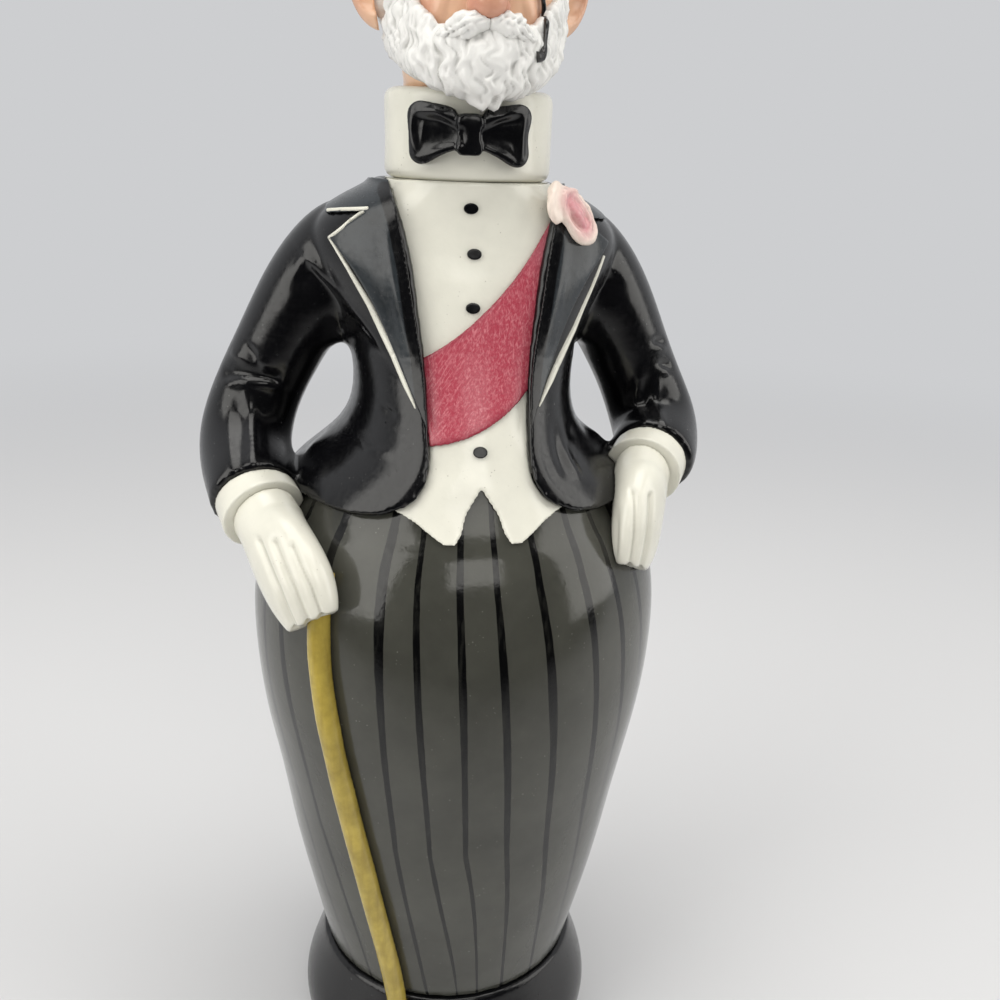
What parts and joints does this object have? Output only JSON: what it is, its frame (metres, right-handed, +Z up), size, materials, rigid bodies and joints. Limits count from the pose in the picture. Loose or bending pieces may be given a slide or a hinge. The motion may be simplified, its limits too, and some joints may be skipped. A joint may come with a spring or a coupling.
{
  "type": "figural liquor decanter",
  "caption": "Glazed ceramic decanter shaped as a portly gentleman in evening dress, arms akimbo; his head lifts off as a corked stopper.",
  "frame": {"origin": "centre of the flat underside of the foot, on the axis of the barrel", "axes": "+Z up through the barrel; the figure faces -Y, its right hand is on the -X side"},
  "size_m": [0.125, 0.1046, 0.3034],
  "materials": {
    "black_glaze": "glossy black glaze over earthenware",
    "charcoal_glaze": "glossy charcoal glaze",
    "striped_glaze": "glossy grey glaze with painted black stripes",
    "white_glaze": "glossy ivory white glaze",
    "crimson_glaze": "brushed crimson underglaze",
    "flower_glaze": "ivory glaze tinted rose",
    "yellow_glaze": "glossy mustard yellow glaze",
    "skin_glaze": "glossy flesh glaze",
    "bisque": "bare fired clay",
    "cork": "natural cork"
  },
  "bodies": {
    "decanter": {"base_plinth": "black_glaze", "trouser_barrel": "striped_glaze", "torso_shell": "white_glaze", "collar": "white_glaze", "shirt_front": "white_glaze", "waistcoat": "white_glaze", "sash": "crimson_glaze", "shirt_studs": "black_glaze", "tailcoat": "black_glaze", "coat_tail_right": "black_glaze", "coat_tail_left": "black_glaze", "lapel_right": "charcoal_glaze", "lapel_left": "charcoal_glaze", "lapel_piping_right": "white_glaze", "lapel_piping_left": "white_glaze", "bow_knot": "black_glaze", "bow_wing_right": "black_glaze", "bow_wing_left": "black_glaze", "sleeve_right": "black_glaze", "sleeve_left": "black_glaze", "cuff_right": "white_glaze", "cuff_left": "white_glaze", "hand_right": "white_glaze", "hand_left": "white_glaze", "boutonniere_petals": "flower_glaze", "boutonniere_heart": "flower_glaze", "cane": "yellow_glaze"},
    "stopper": {"head": "skin_glaze", "hair": "white_glaze", "ear_right": "skin_glaze", "ear_left": "skin_glaze", "eyebrow_right": "white_glaze", "eyebrow_left": "white_glaze", "beard": "white_glaze", "moustache_right": "white_glaze", "moustache_left": "white_glaze", "monocle": "black_glaze", "monocle_cord": "black_glaze", "stopper_plug": "bisque", "cork_sleeve": "cork"}
  },
  "joints": [
    {"name": "stopper_lift", "type": "slide", "parent": "decanter", "child": "stopper", "axis": [0, 0, 1], "range_m": [0, 0.04]}
  ]
}
